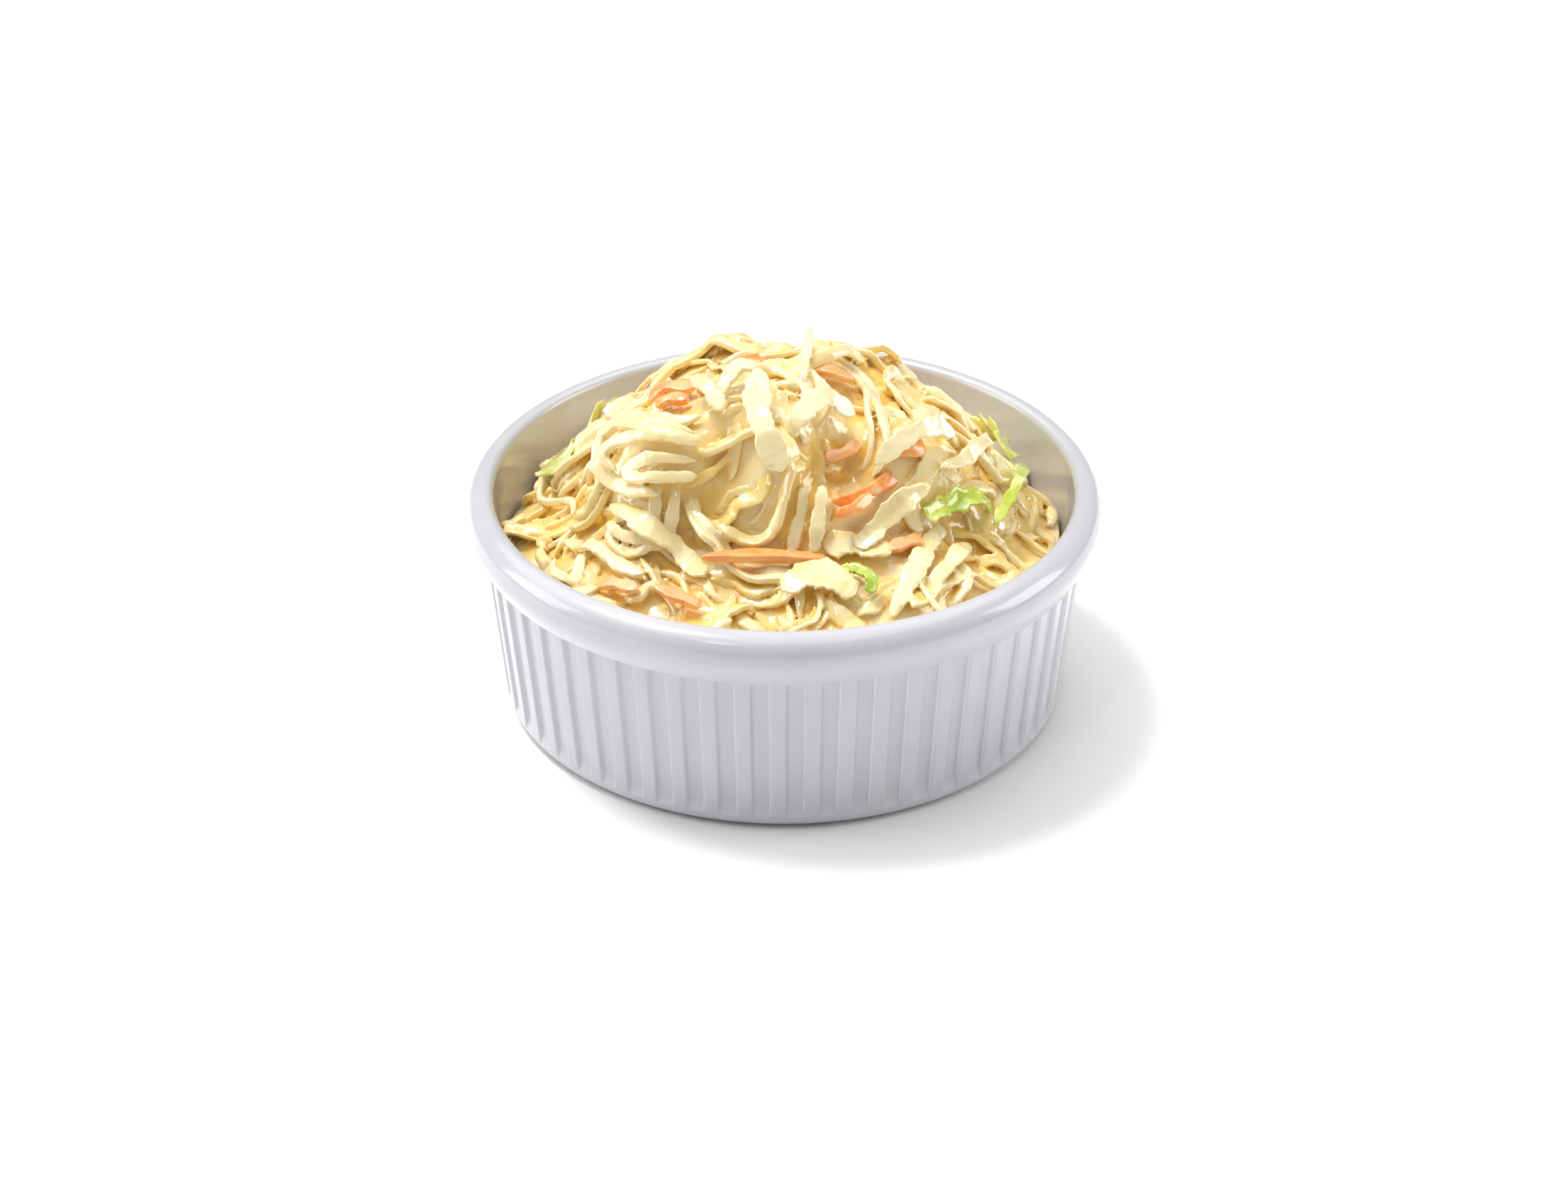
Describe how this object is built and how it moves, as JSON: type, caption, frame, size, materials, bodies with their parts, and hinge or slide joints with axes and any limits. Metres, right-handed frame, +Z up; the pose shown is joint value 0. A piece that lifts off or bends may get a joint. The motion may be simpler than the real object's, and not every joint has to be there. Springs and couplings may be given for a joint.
{
  "type": "coleslaw in a bowl",
  "caption": "Creamy shredded cabbage and carrot salad heaped in a round fluted white dish, which stands on a flat foot.",
  "frame": {"origin": "centre of the dish's foot ring, on the surface that it stands on", "axes": "+Z up, the dish's axis; -Y towards the front of the picture, +X to its right"},
  "size_m": [0.13, 0.13, 0.0799],
  "materials": {
    "glaze": "white glaze, smooth and glossy",
    "coleslaw": "wet creamy dressing on pale shreds"
  },
  "bodies": {
    "root": {"dish": "glaze", "coleslaw": "coleslaw"}
  },
  "joints": []
}
